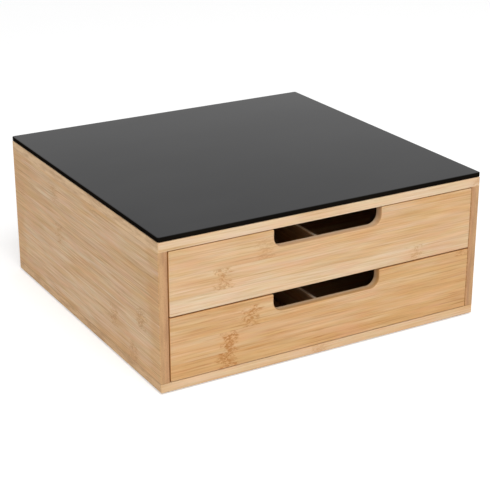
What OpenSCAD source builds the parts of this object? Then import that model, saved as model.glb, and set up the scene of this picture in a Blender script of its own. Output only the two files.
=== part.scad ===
// Bamboo box with two coffee capsule drawers and a black glass top.
// Millimetres, +Z up, +X across the width, and the drawers pull out towards -Y.
// The origin is on the table, under the middle of the box.

/* [Carcass] */
// Width of the box
box_w = 310; // [240:1:400]
// Depth of the box, from the drawer fronts to the rear edge
box_d = 300; // [220:1:380]
// Clear height between the base panel and the top panel
opening_h = 112; // [96:1:160]
// Thickness of the base panel
base_t = 8; // [7:0.5:12]
// Thickness of the top panel
top_t = 8; // [7:0.5:12]
// Thickness of the two side panels
side_t = 8; // [7:0.5:12]
// Thickness of the back panel
back_t = 5; // [3:0.5:8]
// How far the back panel sits in from the rear edge
back_inset = 6; // [3:0.5:12]
// Depth of the grooves that hold the back panel and the runners
groove_depth = 3; // [2:0.5:4]
// Radius of the eased edges of the boards
edge_r = 1.2; // [0.4:0.1:1.4]

/* [Glass top] */
// Thickness of the glass
glass_t = 4; // [3:0.5:8]
// Corner radius of the glass, seen from above
glass_corner_r = 2; // [1:0.5:12]
// Diameter of the clear bonding pads under the glass
bond_d = 16; // [8:1:30]
// Thickness of the bonding pads
bond_t = 0.2; // [0.2:0.1:1]
// Distance from the edges of the glass to the middle of a corner bonding pad
bond_inset = 28; // [16:1:60]

/* [Feet] */
// Diameter of the anti-slip pads under the base panel
foot_d = 14; // [8:1:24]
// Thickness of the anti-slip pads
foot_t = 1.2; // [0.8:0.1:4]
// Distance from the edges of the base panel to the middle of a pad
foot_inset = 18; // [14:1:40]

/* [Drawers] */
// Thickness of the drawer fronts
front_t = 8; // [7:0.5:12]
// Corner radius of the drawer fronts, seen from the front
front_corner_r = 1; // [0.8:0.1:3]
// Gap between a drawer front and each side panel
gap_side = 0.7; // [0.5:0.05:2]
// Gap between a drawer front and the surface that the drawer slides on
gap_bottom = 0.4; // [0.4:0.05:2]
// Gap between the two drawer fronts
gap_between = 1.2; // [0.5:0.05:2]
// Gap between the upper drawer front and the top panel
gap_top = 0.9; // [0.5:0.05:2]
// Thickness of the side walls and the back wall of a drawer
wall_t = 6; // [5:0.5:8]
// Thickness of a drawer bottom
bottom_t = 4; // [3:0.5:6]
// Height of a drawer bottom above the lower edges of the walls
bottom_lift = 4; // [2:0.5:8]
// Depth of the grooves that hold a drawer bottom
bottom_groove = 3; // [1.5:0.5:4]
// Thickness of the divider along the middle of a drawer
divider_t = 4; // [3:0.5:8]
// Drop from the floor of the finger slot to the top edge of the divider
divider_drop = 5.5; // [1:0.5:15]
// Depth of the grooves that hold the ends of the divider
divider_groove = 2; // [1:0.5:3]
// Running gap under a drawer
run_gap = 0.3; // [0.1:0.05:0.4]
// Free height between the walls of the lower drawer and the runners above them
kick_gap = 0.7; // [0.3:0.1:3]
// Gap between a closed drawer and the back panel, which is its stop
rear_gap = 0.3; // [0.1:0.1:0.9]

/* [Finger slots] */
// Width of the finger slot in the top edge of a drawer front
slot_w = 104; // [60:1:160]
// Depth of the finger slot
slot_depth = 16; // [10:0.5:22]
// Radius of the lower corners of the finger slot
slot_corner_r = 9; // [3:0.5:10]
// Radius of the two lips where the finger slot meets the top edge
slot_lip_r = 1; // [0.5:0.5:4]

/* [Runners] */
// Height of the runners that carry the upper drawer
runner_h = 6; // [4:0.5:10]
// How far the runners stand out from the side panels
runner_reach = 10; // [8:0.5:16]
// Gap between the front ends of the runners and the closed lower drawer front
runner_setback = 2; // [0.5:0.5:20]

/* [Fasteners] */
// Clearance round whatever sits in a groove or a hole
fit = 0.1; // [0.05:0.05:0.2]
// Diameter of the dowels that join the side panels to the top panel
dowel_d = 4; // [3:0.5:5]
// Length of those dowels
dowel_l = 20; // [14:1:30]
// How far those dowels go into the top panel
dowel_in_top = 5; // [3:0.5:6]
// Number of those dowels at each side panel
dowel_count = 3; // [2:1:5]
// Distance from the front and rear edges to the nearest dowel
dowel_margin = 30; // [18:1:60]
// Diameter of the screws that hold the base panel
screw_d = 3; // [2.5:0.5:3.5]
// Length of those screws
screw_l = 25; // [18:1:35]
// Diameter of their countersunk heads
screw_head_d = 6; // [5:0.5:6]
// Length of their points
screw_point = 4; // [2:0.5:6]
// Length of the cross recess in the heads, from tip to tip
recess_l = 3.2; // [2:0.1:3.6]
// Width of the arms of the cross recess
recess_w = 0.8; // [0.5:0.1:1.2]
// Depth of the cross recess
recess_depth = 1.3; // [0.8:0.1:1.6]
// Number of screws at each side panel
screw_count = 3; // [2:1:5]
// Distance from the front and rear edges to the nearest screw
screw_margin = 30; // [18:1:60]
// Diameter of the bamboo pins at the corners of a drawer
pin_d = 3; // [2:0.5:3.5]
// Length of those pins
pin_l = 16; // [12:1:24]
// How far the front pins go into the drawer front
pin_in_front = 5; // [3:0.5:6]
// How far the rear pins go into the side walls
pin_in_wall = 4; // [2.5:0.5:4.5]
// Distance from a pin to the top of the wall, or to the drawer bottom
pin_margin = 10; // [5:1:15]
// Length of the chamfer on the ends of dowels and pins
peg_chamfer = 0.4; // [0.1:0.1:0.8]

/* [Hidden] */
$fn = 48;
bamboo_front = "#dcb685";
bamboo_side = "#c9a273";
bamboo_inner = "#d3ab79";
bamboo_peg = "#b98d5b";
// Overlap that lets a cut pass cleanly through a face
cut = 1;

// Heights of the carcass, from the table up
base_z = foot_t;
floor_z = base_z + base_t;
ceiling_z = floor_z + opening_h;
bond_z = ceiling_z + top_t;
glass_z = bond_z + bond_t;

// Inner faces of the carcass
inner_x = box_w / 2 - side_t;
front_y = -box_d / 2;
rear_y = box_d / 2;
back_y = rear_y - back_inset - back_t;
side_mid_x = box_w / 2 - side_t / 2;

// Drawer fronts and the two surfaces that the drawers slide on
front_w = 2 * inner_x - 2 * gap_side;
front_h = (opening_h - gap_bottom - gap_between - gap_top) / 2;
drawer_pitch = front_h + gap_between;
lower_z = floor_z;
upper_z = floor_z + drawer_pitch;

// Drawer box, with heights above the surface that it slides on
wall_h = drawer_pitch - runner_h - kick_gap - run_gap;
wall_top = run_gap + wall_h;
wall_front_y = front_y + front_t;
wall_rear_y = back_y - rear_gap;
wall_inner_x = front_w / 2 - wall_t;
wall_mid_x = front_w / 2 - wall_t / 2;
rear_wall_y = wall_rear_y - wall_t;
bottom_z = run_gap + bottom_lift;
inside_z = bottom_z + bottom_t;
slot_floor = gap_bottom + front_h - slot_depth;
divider_top = slot_floor - divider_drop;
pin_rows = [inside_z + pin_margin, wall_top - pin_margin];

runner_front_y = wall_front_y + runner_setback;

// Even places along the depth, a margin in from the front and rear edges
function places(count, margin) =
    [for (i = [0 : count - 1]) front_y + margin + i * (box_d - 2 * margin) / (count - 1)];

// Flat rectangle from the origin, with round corners
module round_rect(w, h, r) {
    translate([r, 0])
        square([w - 2 * r, h]);
    translate([0, r])
        square([w, h - 2 * r]);
    for (x = [r, w - r], y = [r, h - r])
        translate([x, y])
            circle(r);
}

// Plain block between two opposite corners
module block(lo, hi) {
    translate(lo)
        cube(hi - lo);
}

// Outlines in the XY, XZ and YZ planes, drawn out to a block's length
module drawn_z(length) {
    linear_extrude(length)
        children();
}

module drawn_y(length) {
    translate([0, length, 0])
        rotate([90, 0, 0])
            linear_extrude(length)
                children();
}

module drawn_x(length) {
    rotate([90, 0, 90])
        linear_extrude(length)
            children();
}

// Flat board between two opposite corners, with its edges eased. The face that
// the side panels meet, below or above, has square edges, so the joint is flush.
module eased_board(lo, hi, joint_below) {
    size = hi - lo;
    sink = joint_below ? -edge_r : 0;
    translate(lo)
        intersection() {
            drawn_z(size.z)
                round_rect(size.x, size.y, edge_r);
            translate([0, 0, sink])
                drawn_y(size.y)
                    round_rect(size.x, size.z + edge_r, edge_r);
            translate([0, 0, sink])
                drawn_x(size.x)
                    round_rect(size.y, size.z + edge_r, edge_r);
        }
}

// Boards with square ends and eased edges along Z, Y or X
module upright_board(lo, hi) {
    size = hi - lo;
    translate(lo)
        drawn_z(size.z)
            round_rect(size.x, size.y, edge_r);
}

module deep_board(lo, hi) {
    size = hi - lo;
    translate(lo)
        drawn_y(size.y)
            round_rect(size.x, size.z, edge_r);
}

module wide_board(lo, hi) {
    size = hi - lo;
    translate(lo)
        drawn_x(size.x)
            round_rect(size.y, size.z, edge_r);
}

// Wooden peg along +Z from the origin, with chamfered ends
module peg(d, l) {
    r = d / 2;
    rotate_extrude()
        polygon([
            [0, 0], [r - peg_chamfer, 0], [r, peg_chamfer],
            [r, l - peg_chamfer], [r - peg_chamfer, l], [0, l]
        ]);
}

// Hole for a peg, longer than the peg by the fit at each end
module peg_hole(d, l) {
    translate([0, 0, -fit])
        cylinder(d = d + 2 * fit, h = l + 2 * fit);
}

module dowel_places() {
    for (x = [-side_mid_x, side_mid_x], y = places(dowel_count, dowel_margin))
        translate([x, y, ceiling_z + dowel_in_top - dowel_l])
            children();
}

module screw_places() {
    for (x = [-side_mid_x, side_mid_x], y = places(screw_count, screw_margin))
        translate([x, y, base_z])
            children();
}

// Wood screw along +Z with its head at the origin
module screw_body(grow) {
    r = screw_d / 2 + grow;
    head_r = screw_head_d / 2 + grow;
    rotate_extrude()
        polygon([
            [0, 0], [head_r, 0], [r, head_r - r],
            [r, screw_l - screw_point + grow], [0, screw_l + grow]
        ]);
}

// Groove all round the inside of the carcass for the back panel
module back_panel_groove() {
    block(
        [-inner_x - groove_depth, back_y - fit, floor_z - groove_depth],
        [inner_x + groove_depth, back_y + back_t + fit, ceiling_z + groove_depth]
    );
}

module base_panel() {
    color(bamboo_front)
        difference() {
            eased_board([-box_w / 2, front_y, base_z], [box_w / 2, rear_y, floor_z], false);
            back_panel_groove();
            screw_places()
                screw_body(fit);
        }
}

module top_panel() {
    color(bamboo_front)
        difference() {
            eased_board([-box_w / 2, front_y, ceiling_z], [box_w / 2, rear_y, bond_z], true);
            back_panel_groove();
            dowel_places()
                peg_hole(dowel_d, dowel_l);
        }
}

// Left side panel; the right one is its mirror image
module side_panel() {
    color(bamboo_side)
        difference() {
            upright_board([-box_w / 2, front_y, floor_z], [-inner_x, rear_y, ceiling_z]);
            back_panel_groove();
            block(
                [-inner_x - groove_depth, runner_front_y - fit, upper_z - runner_h - fit],
                [-inner_x + cut, back_y + cut, upper_z + fit]
            );
            dowel_places()
                peg_hole(dowel_d, dowel_l);
            screw_places()
                screw_body(fit);
        }
}

module back_panel() {
    color(bamboo_inner)
        block(
            [-inner_x - groove_depth + fit, back_y, floor_z - groove_depth + fit],
            [inner_x + groove_depth - fit, back_y + back_t, ceiling_z + groove_depth - fit]
        );
}

// Left runner; the right one is its mirror image
module runner() {
    color(bamboo_inner)
        deep_board(
            [-inner_x - groove_depth + fit, runner_front_y, upper_z - runner_h],
            [-inner_x + runner_reach, back_y, upper_z]
        );
}

module glass_top() {
    color("#2b2c2e")
        translate([-box_w / 2, front_y, glass_z])
            drawn_z(glass_t)
                round_rect(box_w, box_d, glass_corner_r);
}

module bonding_pads() {
    pad_x = box_w / 2 - bond_inset;
    pad_y = box_d / 2 - bond_inset;
    corners = [for (x = [-pad_x, pad_x], y = [-pad_y, pad_y]) [x, y]];
    color("gainsboro")
        for (place = concat(corners, [[0, 0]]))
            translate([place.x, place.y, bond_z])
                cylinder(d = bond_d, h = bond_t);
}

module top_dowels() {
    color(bamboo_peg)
        dowel_places()
            peg(dowel_d, dowel_l);
}

module base_screws() {
    color("silver")
        screw_places()
            difference() {
                screw_body(0);
                for (turn = [0, 90])
                    rotate(turn)
                        translate([-recess_l / 2, -recess_w / 2, -cut])
                            cube([recess_l, recess_w, recess_depth + cut]);
            }
}

module foot_pads() {
    pad_x = box_w / 2 - foot_inset;
    pad_y = box_d / 2 - foot_inset;
    color("dimgray")
        for (x = [-pad_x, pad_x], y = [-pad_y, pad_y])
            translate([x, y, 0])
                cylinder(d = foot_d, h = foot_t);
}

// Drawer pieces, each placed for the surface that its drawer slides on

// Space that a drawer bottom fills in the walls, the front and the back wall
module bottom_groove_cut(slide_z) {
    block(
        [-wall_inner_x - bottom_groove, wall_front_y - bottom_groove, slide_z + bottom_z - fit],
        [wall_inner_x + bottom_groove, rear_wall_y + bottom_groove, slide_z + inside_z + fit]
    );
}

// Space that the divider fills in the front and the back wall
module divider_groove_cut(slide_z) {
    block(
        [-divider_t / 2 - fit, wall_front_y - divider_groove, slide_z + inside_z],
        [divider_t / 2 + fit, rear_wall_y + divider_groove, slide_z + divider_top + fit]
    );
}

// Places of the pins between the front and the side walls, along +Y
module front_pin_places(slide_z) {
    for (x = [-wall_mid_x, wall_mid_x], z = pin_rows)
        translate([x, wall_front_y - pin_in_front, slide_z + z])
            rotate([-90, 0, 0])
                children();
}

// Places of the pins between the side walls and the back wall, pointing inwards
module rear_pin_places(slide_z) {
    for (turn = [0, 180], z = pin_rows)
        translate([0, rear_wall_y + wall_t / 2, slide_z + z])
            rotate(turn)
                translate([-wall_inner_x - pin_in_wall, 0, 0])
                    rotate([0, 90, 0])
                        children();
}

// Finger slot, with its floor at the origin and its middle on the Y axis
module slot_outline() {
    half = slot_w / 2;
    translate([-half, slot_corner_r])
        square([slot_w, slot_depth - slot_corner_r + cut]);
    translate([-half + slot_corner_r, 0])
        square([slot_w - 2 * slot_corner_r, slot_depth]);
    for (x = [-half + slot_corner_r, half - slot_corner_r])
        translate([x, slot_corner_r])
            circle(slot_corner_r);
    for (side = [-1, 1])
        translate([side * (half + slot_lip_r), slot_depth - slot_lip_r])
            difference() {
                translate([side > 0 ? -slot_lip_r - cut : 0, 0])
                    square([slot_lip_r + cut, slot_lip_r + cut]);
                circle(slot_lip_r);
            }
}

module front_outline() {
    difference() {
        round_rect(front_w, front_h, front_corner_r);
        translate([front_w / 2, front_h - slot_depth])
            slot_outline();
    }
}

module drawer_front(slide_z) {
    color(bamboo_front)
        difference() {
            translate([-front_w / 2, front_y, slide_z + gap_bottom])
                intersection() {
                    drawn_y(front_t)
                        front_outline();
                    drawn_z(front_h)
                        round_rect(front_w, front_t, edge_r);
                    drawn_x(front_w)
                        round_rect(front_t, front_h, edge_r);
                }
            bottom_groove_cut(slide_z);
            divider_groove_cut(slide_z);
            front_pin_places(slide_z)
                peg_hole(pin_d, pin_l);
        }
}

// Left wall; the right one is its mirror image
module drawer_wall(slide_z) {
    color(bamboo_inner)
        difference() {
            deep_board(
                [-front_w / 2, wall_front_y, slide_z + run_gap],
                [-wall_inner_x, wall_rear_y, slide_z + wall_top]
            );
            bottom_groove_cut(slide_z);
            front_pin_places(slide_z)
                peg_hole(pin_d, pin_l);
            rear_pin_places(slide_z)
                peg_hole(pin_d, pin_l);
        }
}

module drawer_back_wall(slide_z) {
    color(bamboo_inner)
        difference() {
            wide_board(
                [-wall_inner_x, rear_wall_y, slide_z + run_gap],
                [wall_inner_x, wall_rear_y, slide_z + wall_top]
            );
            bottom_groove_cut(slide_z);
            divider_groove_cut(slide_z);
            rear_pin_places(slide_z)
                peg_hole(pin_d, pin_l);
        }
}

module drawer_bottom(slide_z) {
    color(bamboo_inner)
        block(
            [-wall_inner_x - bottom_groove + fit, wall_front_y - bottom_groove + fit, slide_z + bottom_z],
            [wall_inner_x + bottom_groove - fit, rear_wall_y + bottom_groove - fit, slide_z + inside_z]
        );
}

module drawer_divider(slide_z) {
    color(bamboo_inner)
        deep_board(
            [-divider_t / 2, wall_front_y - divider_groove + fit, slide_z + inside_z],
            [divider_t / 2, rear_wall_y + divider_groove - fit, slide_z + divider_top]
        );
}

module drawer_front_pins(slide_z) {
    color(bamboo_peg)
        front_pin_places(slide_z)
            peg(pin_d, pin_l);
}

module drawer_rear_pins(slide_z) {
    color(bamboo_peg)
        rear_pin_places(slide_z)
            peg(pin_d, pin_l);
}

base_panel();
top_panel();
side_panel();  // left_side_panel
mirror([1, 0, 0]) side_panel();  // right_side_panel
back_panel();
runner();  // left_runner
mirror([1, 0, 0]) runner();  // right_runner
glass_top();
bonding_pads();
top_dowels();
base_screws();
foot_pads();
drawer_front(upper_z);  // upper_drawer_front
drawer_wall(upper_z);  // upper_drawer_left_wall
mirror([1, 0, 0]) drawer_wall(upper_z);  // upper_drawer_right_wall
drawer_back_wall(upper_z);  // upper_drawer_back_wall
drawer_bottom(upper_z);  // upper_drawer_bottom
drawer_divider(upper_z);  // upper_drawer_divider
drawer_front_pins(upper_z);  // upper_drawer_front_pins
drawer_rear_pins(upper_z);  // upper_drawer_rear_pins
drawer_front(lower_z);  // lower_drawer_front
drawer_wall(lower_z);  // lower_drawer_left_wall
mirror([1, 0, 0]) drawer_wall(lower_z);  // lower_drawer_right_wall
drawer_back_wall(lower_z);  // lower_drawer_back_wall
drawer_bottom(lower_z);  // lower_drawer_bottom
drawer_divider(lower_z);  // lower_drawer_divider
drawer_front_pins(lower_z);  // lower_drawer_front_pins
drawer_rear_pins(lower_z);  // lower_drawer_rear_pins
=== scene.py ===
"""Looks of a bamboo box with two coffee capsule drawers and a black glass top.

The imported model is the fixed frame. Lengths are in metres unless a name says mm.
"""

import logging
import math
import random
from collections.abc import Callable
from dataclasses import dataclass, replace
from enum import Enum

import bpy
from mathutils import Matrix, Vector


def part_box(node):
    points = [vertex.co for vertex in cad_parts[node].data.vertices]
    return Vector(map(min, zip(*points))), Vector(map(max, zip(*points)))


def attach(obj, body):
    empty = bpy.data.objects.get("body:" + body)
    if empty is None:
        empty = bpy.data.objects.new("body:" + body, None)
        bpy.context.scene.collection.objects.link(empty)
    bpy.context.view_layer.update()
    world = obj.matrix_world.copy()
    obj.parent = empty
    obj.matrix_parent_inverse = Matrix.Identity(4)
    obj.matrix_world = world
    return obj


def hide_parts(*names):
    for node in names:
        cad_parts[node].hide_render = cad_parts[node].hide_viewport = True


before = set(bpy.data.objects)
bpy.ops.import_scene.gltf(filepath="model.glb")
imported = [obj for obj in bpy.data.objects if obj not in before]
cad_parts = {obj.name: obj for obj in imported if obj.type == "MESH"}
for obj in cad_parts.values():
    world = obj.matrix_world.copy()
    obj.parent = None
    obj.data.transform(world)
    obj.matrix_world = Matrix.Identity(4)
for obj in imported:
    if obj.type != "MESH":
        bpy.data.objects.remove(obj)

LOG = logging.getLogger("capsule_drawer")
MM = 0.001
WHITE = (1.0, 1.0, 1.0, 1.0)

Triple = tuple[float, float, float]
Colour = tuple[float, float, float]
Point2 = tuple[float, float]
Range = tuple[float, float]
Stop = tuple[float, tuple[float, ...]]
Box = tuple[Vector, Vector]
Socket = bpy.types.NodeSocket
Value = bpy.types.NodeSocket | float
Paint = bpy.types.NodeSocket | Colour


def tint(red: int, green: int, blue: int) -> Colour:
    """Turns a colour as it is seen on a screen into linear light.

    Args:
        red: Red part, 0 to 255.
        green: Green part, 0 to 255.
        blue: Blue part, 0 to 255.

    Returns:
        The three linear parts, 0 to 1.
    """

    def straight(part: int) -> float:
        """Undoes the curve of the sRGB standard for one part."""
        share = part / 255
        return share / 12.92 if share <= 0.04045 else ((share + 0.055) / 1.055) ** 2.4

    return straight(red), straight(green), straight(blue)


class GrainLay(Enum):
    """Axes along the fibres, across the strips and through the thickness of a board."""

    ACROSS_UPRIGHT = (0, 2, 1)
    DEEP_UPRIGHT = (1, 2, 0)
    ACROSS_FLAT = (0, 1, 2)


class Slot(Enum):
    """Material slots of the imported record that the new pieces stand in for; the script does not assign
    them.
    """

    FRONT = "bamboo_front"
    GLASS = "black_glass"


class Mixing(Enum):
    """Ways to put one colour over another."""

    COVER = "MIX"
    STAIN = "MULTIPLY"


class Easing(Enum):
    """Ways to go from one number to another."""

    SOFT = "SMOOTHSTEP"
    STRAIGHT = "LINEAR"


@dataclass(frozen=True)
class Waves:
    """Soft noise: waves per unit of length along each axis, and its finer layers."""

    stretch: Triple
    detail: float = 2.0
    roughness: float = 0.55


class Grain(Enum):
    """Noise in bamboo, with waves per millimetre along the fibres, across and through a board."""

    FIBRE = Waves((0.020, 0.95, 0.95), roughness=0.5)
    STREAK = Waves((0.012, 0.34, 0.34), detail=3.0)
    BAND = Waves((0.010, 0.07, 0.07))
    DASH = Waves((0.032, 0.80, 0.80), detail=1.0)
    THREAD = Waves((0.003, 0.20, 0.20))
    WARM_PATCH = Waves((0.014, 0.17, 0.17), detail=3.0)
    BLUSH = Waves((0.022, 0.13, 0.13), detail=3.0)
    ROSE = Waves((0.03, 0.16, 0.16))
    EMBER = Waves((0.04, 0.25, 0.25))
    CLOUD = Waves((0.009, 0.030, 0.0))
    RAGGED = Waves((0.10, 0.35, 0.35))
    SPECK = Waves((0.26, 0.95, 0.95), detail=1.0)
    SWIRL = Waves((0.12, 0.15, 0.15))
    LAYER = Waves((0.01, 0.05, 0.40), detail=3.0)


class NodeSheet:
    """Short ways to lay out the nodes of one material or world."""

    def __init__(self, tree: bpy.types.NodeTree) -> None:
        """Keeps the node tree that is filled."""
        self.tree = tree

    def add(self, kind: str, **settings: object) -> bpy.types.Node:
        """Adds one node.

        Args:
            kind: Blender's name for the node type.
            **settings: Properties to set on the node.

        Returns:
            The new node.
        """
        node = self.tree.nodes.new(kind)
        for name, value in settings.items():
            setattr(node, name, value)
        return node

    def feed(self, socket: Socket, value: Value | Colour) -> None:
        """Links a socket or sets its plain value.

        Args:
            socket: Input that is fed.
            value: Another node's output, a number or a colour.
        """
        if isinstance(value, bpy.types.NodeSocket):
            self.tree.links.new(value, socket)
        elif isinstance(value, tuple) and len(socket.default_value) == 4:
            socket.default_value = (*value, 1.0)
        else:
            socket.default_value = value

    def feed_all(self, node: bpy.types.Node, *values: Value) -> Socket:
        """Feeds the first inputs of a node in their order.

        Args:
            node: Node that is fed.
            *values: Other nodes' outputs or numbers.

        Returns:
            The first output of the node.
        """
        for socket, value in zip(node.inputs, values):
            self.feed(socket, value)
        return node.outputs[0]

    def math(self, operation: str, first: Value, second: Value = 0.0) -> Socket:
        """Adds a math node.

        Args:
            operation: Blender's name for the sum.
            first: First number.
            second: Second number.

        Returns:
            The result.
        """
        return self.feed_all(self.add("ShaderNodeMath", operation=operation), first, second)

    def times(self, first: Value, second: Value) -> Socket:
        """Multiplies two numbers."""
        return self.math("MULTIPLY", first, second)

    def size(self, number: Value) -> Socket:
        """Gives a number without its sign."""
        return self.math("ABSOLUTE", number)

    def weigh(self, *terms: tuple[float, Value]) -> Socket:
        """Adds up numbers, each times its weight.

        Args:
            *terms: Weights and numbers.

        Returns:
            The sum.
        """
        total: Value = 0.0
        for weight, number in terms:
            node = self.add("ShaderNodeMath", operation="MULTIPLY_ADD")
            total = self.feed_all(node, number, weight, total)
        return total

    def about(self, level: float, swing: float, noise: Socket) -> Socket:
        """Lets a number swing about a level with a noise.

        Args:
            level: Number where the noise is 0.5.
            swing: Change from a noise of 0 to a noise of 1.
            noise: The noise.

        Returns:
            The uneven number.
        """
        return self.weigh((swing, noise), (1.0, level - swing / 2))

    def ease(self, easing: Easing, value: Value, *limits: float) -> Socket:
        """Maps a number from one range to another.

        Args:
            easing: Soft or straight.
            value: Number that is mapped.
            *limits: First and last value, and the results there and beyond.

        Returns:
            The mapped number.
        """
        return self.feed_all(self.add("ShaderNodeMapRange", interpolation_type=easing.value), value, *limits)

    def span(self, value: Value, low: float, high: float, start: float = 0.0, end: float = 1.0) -> Socket:
        """Maps a number softly, from start at low to end at high."""
        return self.ease(Easing.SOFT, value, low, high, start, end)

    def line(self, value: Value, low: float, high: float, start: float = 0.0, end: float = 1.0) -> Socket:
        """Maps a number in a straight line, from start at low to end at high."""
        return self.ease(Easing.STRAIGHT, value, low, high, start, end)

    def join(self, first: Value, second: Value, third: Value) -> Socket:
        """Puts three numbers into one vector."""
        return self.feed_all(self.add("ShaderNodeCombineXYZ"), first, second, third)

    def split(self, vector: Socket) -> list[Socket]:
        """Takes a vector apart.

        Args:
            vector: The vector.

        Returns:
            Its three numbers.
        """
        node = self.add("ShaderNodeSeparateXYZ")
        self.feed(node.inputs[0], vector)
        return list(node.outputs)

    def scaled(self, vector: Socket, stretch: Triple) -> Socket:
        """Multiplies a vector, axis by axis.

        Args:
            vector: The vector.
            stretch: Factors for the three axes.

        Returns:
            The stretched vector.
        """
        node = self.add("ShaderNodeVectorMath", operation="MULTIPLY")
        self.feed(node.inputs[0], vector)
        node.inputs[1].default_value = stretch
        return node.outputs[0]

    def coordinates(self) -> tuple[Socket, Socket]:
        """Reads where a point lies and which way its surface faces.

        Returns:
            The place in millimetres of the frame, and the normal.
        """
        node = self.add("ShaderNodeTexCoord")
        return self.scaled(node.outputs["Object"], (1 / MM, 1 / MM, 1 / MM)), node.outputs["Normal"]

    def noise(self, place: Socket, waves: Waves) -> Socket:
        """Adds soft noise that is stretched along the axes.

        Args:
            place: Position that the noise is read at.
            waves: Size and layers of the noise.

        Returns:
            The noise, about 0.5 on average.
        """
        node = self.add("ShaderNodeTexNoise")
        self.feed(node.inputs["Vector"], self.scaled(place, waves.stretch))
        node.inputs["Scale"].default_value = 1.0
        node.inputs["Detail"].default_value = waves.detail
        node.inputs["Roughness"].default_value = waves.roughness
        return node.outputs["Fac"]

    def cells(self, place: Socket, density: Triple) -> Socket:
        """Gives the distance to the nearest of many scattered points.

        Args:
            place: Position in millimetres.
            density: Points per millimetre along each axis.

        Returns:
            The distance, in cells.
        """
        node = self.add("ShaderNodeTexVoronoi")
        self.feed(node.inputs["Vector"], self.scaled(place, density))
        node.inputs["Scale"].default_value = 1.0
        return node.outputs["Distance"]

    def ramp(self, share: Value, stops: list[Stop], steps: bool = False) -> bpy.types.Node:
        """Adds a colour ramp.

        Args:
            share: Place on the ramp, 0 to 1.
            stops: Places and colours, in order.
            steps: True for hard steps between the stops.

        Returns:
            The ramp node.
        """
        node = self.add("ShaderNodeValToRGB")
        bar = node.color_ramp
        bar.interpolation = "CONSTANT" if steps else "LINEAR"
        while len(bar.elements) > 1:
            bar.elements.remove(bar.elements[-1])
        for count, (place, colour) in enumerate(stops):
            element = bar.elements[0] if count == 0 else bar.elements.new(place)
            element.position = place
            element.color = colour if len(colour) == 4 else (*colour, 1.0)
        self.feed(node.inputs[0], share)
        return node

    def blend(self, share: Value, first: Paint, second: Paint, mixing: Mixing = Mixing.COVER) -> Socket:
        """Puts one colour over another.

        Args:
            share: Share of the second colour.
            first: First colour.
            second: Second colour.
            mixing: How the second colour goes over the first.

        Returns:
            The mixed colour.
        """
        node = self.add("ShaderNodeMix", data_type="RGBA", blend_type=mixing.value)
        sockets = {socket.identifier: socket for socket in node.inputs}
        self.feed(sockets["Factor_Float"], share)
        self.feed(sockets["A_Color"], first)
        self.feed(sockets["B_Color"], second)
        return next(socket for socket in node.outputs if socket.identifier == "Result_Color")

    def bump(self, height: Socket, strength: float, depth: float) -> Socket:
        """Turns a height into small unevenness of the surface.

        Args:
            height: Height, 0 to 1.
            strength: Share of the full effect.
            depth: Length that a height of 1 stands for.

        Returns:
            The bent normal.
        """
        node = self.add("ShaderNodeBump")
        node.inputs["Strength"].default_value = strength
        node.inputs["Distance"].default_value = depth
        self.feed(node.inputs["Height"], height)
        return node.outputs["Normal"]


def new_finish(name: str) -> tuple[bpy.types.Material, NodeSheet, bpy.types.Node]:
    """Makes a material with one main shader.

    Args:
        name: Name of the material.

    Returns:
        The material, its node sheet and its shader node.
    """
    material = bpy.data.materials.new(name)
    material.use_nodes = True
    sheet = NodeSheet(material.node_tree)
    return material, sheet, material.node_tree.nodes["Principled BSDF"]


@dataclass(frozen=True)
class BoardPlace:
    """Where a point lies on a board in mm of the frame, which way it faces, and where the board ends."""

    along: Socket
    across: Socket
    through: Socket
    spot: Socket
    end_normal: Socket
    face_normal: Socket
    low: float
    high: float
    foot: float
    head: float
    middle: float
    outside: float

    @classmethod
    def on(cls, sheet: NodeSheet, lay: GrainLay, box: Box) -> "BoardPlace":
        """Reads the place on a board.

        Args:
            sheet: Node sheet of the board's material.
            lay: How the grain runs.
            box: Lowest and highest corner of the board.

        Returns:
            The place.
        """
        along, across, through = lay.value
        place, normal = sheet.coordinates()
        axes, facing = sheet.split(place), sheet.split(normal)
        low, high = ([part / MM for part in corner] for corner in box)
        return cls(
            along=axes[along],
            across=axes[across],
            through=axes[through],
            spot=sheet.join(axes[along], axes[across], axes[through]),
            end_normal=facing[along],
            face_normal=facing[through],
            low=low[along],
            high=high[along],
            foot=low[across],
            head=high[across],
            middle=(low[through] + high[through]) / 2,
            outside=max(abs(low[through]), abs(high[through])),
        )


@dataclass(frozen=True)
class Strip:
    """One bamboo strip of a board: its tone and warmth, and the place and strength of its knuckle."""

    tone: float
    warmth: float
    knuckle_mm: float
    strength: float


@dataclass(frozen=True)
class StripChance:
    """Ranges that the strips of a board are drawn from, and their width."""

    pitch_mm: float = 18.0
    first_cut: Range = (0.1, 0.9)
    tone: Range = (0.42, 0.60)
    warmth: Range = (0.3, 0.7)
    strength: Range = (0.3, 0.9)


@dataclass(frozen=True)
class StripMarks:
    """The strip under a point: its tone, knuckle and warmth, and the place in its own piece of bamboo."""

    tone: Socket
    knuckle: Socket
    strength: Socket
    warmth: Socket
    shuffle: Socket
    solid: Socket


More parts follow.
